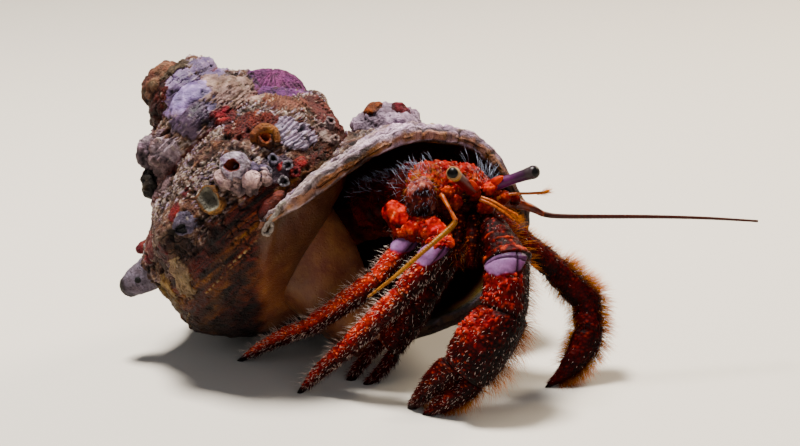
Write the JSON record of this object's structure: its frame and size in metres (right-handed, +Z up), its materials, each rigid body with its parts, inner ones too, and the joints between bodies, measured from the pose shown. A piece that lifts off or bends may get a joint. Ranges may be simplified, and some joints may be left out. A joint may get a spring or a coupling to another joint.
{
  "type": "hermit crab",
  "caption": "Still model of a great red hermit crab at life size, walking out of a knobbed, overgrown whelk shell, with its eyestalks and feelers out.",
  "frame": {"origin": "centre of the whole model's footprint, at the floor that it stands on", "axes": "+Z up, +X along the longest extent, from the shell's worn tip side to the end of the long left feeler; the animal's head looks towards +X and -Y"},
  "size_m": [0.1318, 0.0712, 0.0613],
  "materials": {
    "shell": "rough chalky shell, mottled cream, lilac, brown and red",
    "barnacle": "chalky cream",
    "armour": "orange-red armour with fine bumps and bristles",
    "soft_skin": "soft reddish skin",
    "eyestalk": "smooth purple",
    "cornea": "glossy brown-black",
    "feeler": "smooth ochre, brown on the left whip"
  },
  "bodies": {
    "root": {"abdomen": "soft_skin", "antennaLeftElbow": "armour", "antennaLeftStem": "armour", "antennaLeftWhipFar": "feeler", "antennaLeftWhipNear": "feeler", "antennaRightElbow": "armour", "antennaRightStem": "armour", "antennaRightWhipFar": "feeler", "antennaRightWhipNear": "feeler", "antennuleLeft": "feeler", "antennuleRight": "feeler", "barnacleCup": "barnacle", "barnacleLower": "barnacle", "barnacleUpper": "barnacle", "clawLeftCarpus": "armour", "clawLeftFixedFinger": "armour", "clawLeftIschium": "armour", "clawLeftMerus": "armour", "clawLeftMovingFinger": "armour", "clawLeftPalm": "armour", "clawRightCarpus": "armour", "clawRightFixedFinger": "armour", "clawRightIschium": "armour", "clawRightMerus": "armour", "clawRightMovingFinger": "armour", "clawRightPalm": "armour", "corneaLeft": "cornea", "corneaRight": "cornea", "eyestalkLeft": "eyestalk", "eyestalkRight": "eyestalk", "headShield": "armour", "legLeftFrontCarpus": "armour", "legLeftFrontDactyl": "armour", "legLeftFrontIschium": "armour", "legLeftFrontMerus": "armour", "legLeftFrontPropodus": "armour", "legLeftRearCarpus": "armour", "legLeftRearDactyl": "armour", "legLeftRearIschium": "armour", "legLeftRearMerus": "armour", "legLeftRearPropodus": "armour", "legRightFrontCarpus": "armour", "legRightFrontDactyl": "armour", "legRightFrontIschium": "armour", "legRightFrontMerus": "armour", "legRightFrontPropodus": "armour", "legRightRearCarpus": "armour", "legRightRearDactyl": "armour", "legRightRearIschium": "armour", "legRightRearMerus": "armour", "legRightRearPropodus": "armour", "mouthLimbLeftLower": "armour", "mouthLimbLeftUpper": "armour", "mouthLimbRightLower": "armour", "mouthLimbRightUpper": "armour", "ocularScaleLeft": "armour", "ocularScaleRight": "armour", "rearCarapace": "armour", "shellMouth": "shell", "shellSpire": "shell"}
  },
  "joints": []
}
